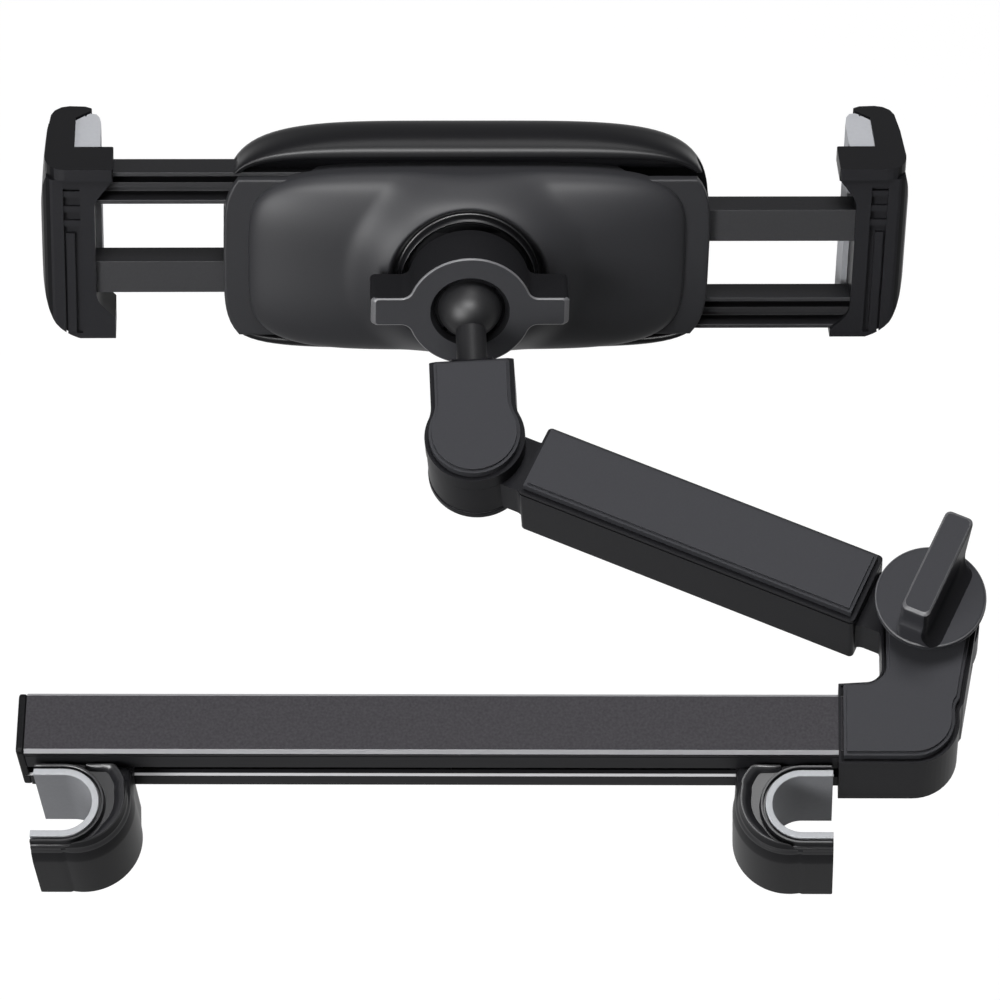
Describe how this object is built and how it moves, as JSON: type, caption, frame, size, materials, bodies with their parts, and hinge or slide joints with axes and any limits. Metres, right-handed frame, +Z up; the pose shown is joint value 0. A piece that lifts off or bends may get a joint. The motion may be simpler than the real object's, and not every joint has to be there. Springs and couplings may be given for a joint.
{
  "type": "headrest tablet mount",
  "caption": "Tablet holder with sliding padded jaws on a ball joint and folding arm, fixed to a rail whose sprung hooks brace between a car headrest's posts.",
  "frame": {"origin": "on the axis of the left headrest post, at half the height of the hooks", "axes": "+X along the rail to the right hook, +Y from the seat towards the tablet, +Z up along the headrest posts"},
  "size_m": [0.2482, 0.2252, 0.0897],
  "materials": {
    "black_plastic": "fine matte texture",
    "inner_plastic": "plain moulded",
    "anodised_aluminium": "dark anodised, bead blasted, bright chamfers",
    "bar_aluminium": "black anodised",
    "steel": "zinc plated",
    "ball_steel": "smooth, slightly glossy",
    "liner_silicone": "soft silicone",
    "pad_silicone": "soft silicone",
    "nylon": "natural nylon"
  },
  "bodies": {
    "rail": {"rail": "anodised_aluminium", "rail_end_cap": "black_plastic", "spring_stop": "inner_plastic", "left_hook_spring": "steel", "right_hook_spring": "steel", "end_bracket": "black_plastic", "bracket_cover": "black_plastic", "bracket_screws": "steel", "hinge_nut": "steel"},
    "left_hook": {"left_hook": "black_plastic", "left_hook_liner": "liner_silicone", "left_slider": "inner_plastic"},
    "right_hook": {"right_hook": "black_plastic", "right_hook_liner": "liner_silicone", "right_slider": "inner_plastic"},
    "clamp_knob": {"clamp_knob": "black_plastic", "clamp_screw": "steel"},
    "arm": {"arm_body": "black_plastic", "arm_cover": "black_plastic", "arm_screws": "steel"},
    "link": {"link_body": "black_plastic", "link_cover": "black_plastic", "link_cap": "black_plastic", "elbow_pin": "steel"},
    "ball_stud": {"ball_stud": "ball_steel"},
    "ball_seat": {"ball_seat": "nylon"},
    "holder": {"socket_collar": "inner_plastic", "rear_cover": "black_plastic", "front_housing": "black_plastic", "front_pad": "liner_silicone", "housing_screws": "steel", "pinion_axle": "steel"},
    "lock_nut": {"lock_nut": "black_plastic"},
    "jaw_pinion": {"jaw_pinion": "nylon"},
    "left_jaw": {"left_jaw": "black_plastic", "left_jaw_pad": "pad_silicone", "left_upper_bar": "bar_aluminium", "left_lower_bar": "bar_aluminium", "left_jaw_screws": "steel"},
    "right_jaw": {"right_jaw": "black_plastic", "right_jaw_pad": "pad_silicone", "right_upper_bar": "bar_aluminium", "right_lower_bar": "bar_aluminium", "right_jaw_screws": "steel"}
  },
  "joints": [
    {"name": "left_hook_slide", "type": "slide", "parent": "rail", "child": "left_hook", "axis": [1, 0, 0], "range_m": [0, 0.03], "stiffness_N_per_m": 160, "springref_m": -0.05, "deforming": ["left_hook_spring"]},
    {"name": "right_hook_slide", "type": "slide", "parent": "rail", "child": "right_hook", "axis": [-1, 0, 0], "range_m": [0, 0.03], "stiffness_N_per_m": 160, "springref_m": -0.05, "deforming": ["right_hook_spring"]},
    {"name": "knob_turn", "type": "hinge", "parent": "rail", "child": "clamp_knob", "pos_m": [0.2176, 0.0503, 0.019], "axis": [0, 0, 1], "range_deg": [0, 360]},
    {"name": "arm_swing", "type": "hinge", "parent": "rail", "child": "arm", "pos_m": [0.2176, 0.0503, 0.0065], "axis": [0, 0, 1], "range_deg": [-145, 15]},
    {"name": "elbow_swing", "type": "hinge", "parent": "arm", "child": "link", "pos_m": [0.10168, 0.1007, 0.0065], "axis": [0, 0, -1], "range_deg": [-50, 20]},
    {"name": "ball_roll", "type": "hinge", "parent": "link", "child": "ball_stud", "pos_m": [0.09903, 0.14412, 0.0065], "axis": [-0.061, 0.9981, 0], "range_deg": [-25, 25]},
    {"name": "ball_tilt", "type": "hinge", "parent": "ball_stud", "child": "ball_seat", "pos_m": [0.09903, 0.14412, 0.0065], "axis": [1, 0, 0], "range_deg": [-14, 60]},
    {"name": "holder_spin", "type": "hinge", "parent": "ball_seat", "child": "holder", "pos_m": [0.09903, 0.14412, 0.0065], "axis": [0.0736, -0.8766, 0.4756], "continuous": true},
    {"name": "lock_nut_turn", "type": "hinge", "parent": "holder", "child": "lock_nut", "pos_m": [0.09903, 0.14412, 0.0065], "axis": [0.0736, -0.8766, 0.4756], "range_deg": [0, 360]},
    {"name": "right_jaw_slide", "type": "slide", "parent": "holder", "child": "right_jaw", "axis": [0.9962, 0.0421, -0.0767], "range_m": [-0.028, 0.025]},
    {"name": "left_jaw_slide", "type": "slide", "parent": "holder", "child": "left_jaw", "axis": [-0.9962, -0.0421, 0.0767], "range_m": [-0.028, 0.025]},
    {"name": "pinion_spin", "type": "hinge", "parent": "holder", "child": "jaw_pinion", "pos_m": [0.097, 0.169, -0.0062], "axis": [0.0736, -0.8766, 0.4756], "range_deg": [-362, 405]}
  ],
  "couplings": [
    {"joint": "left_jaw_slide", "follows": "right_jaw_slide", "ratio": 1},
    {"joint": "pinion_spin", "follows": "right_jaw_slide", "rad_per_m": -250}
  ]
}
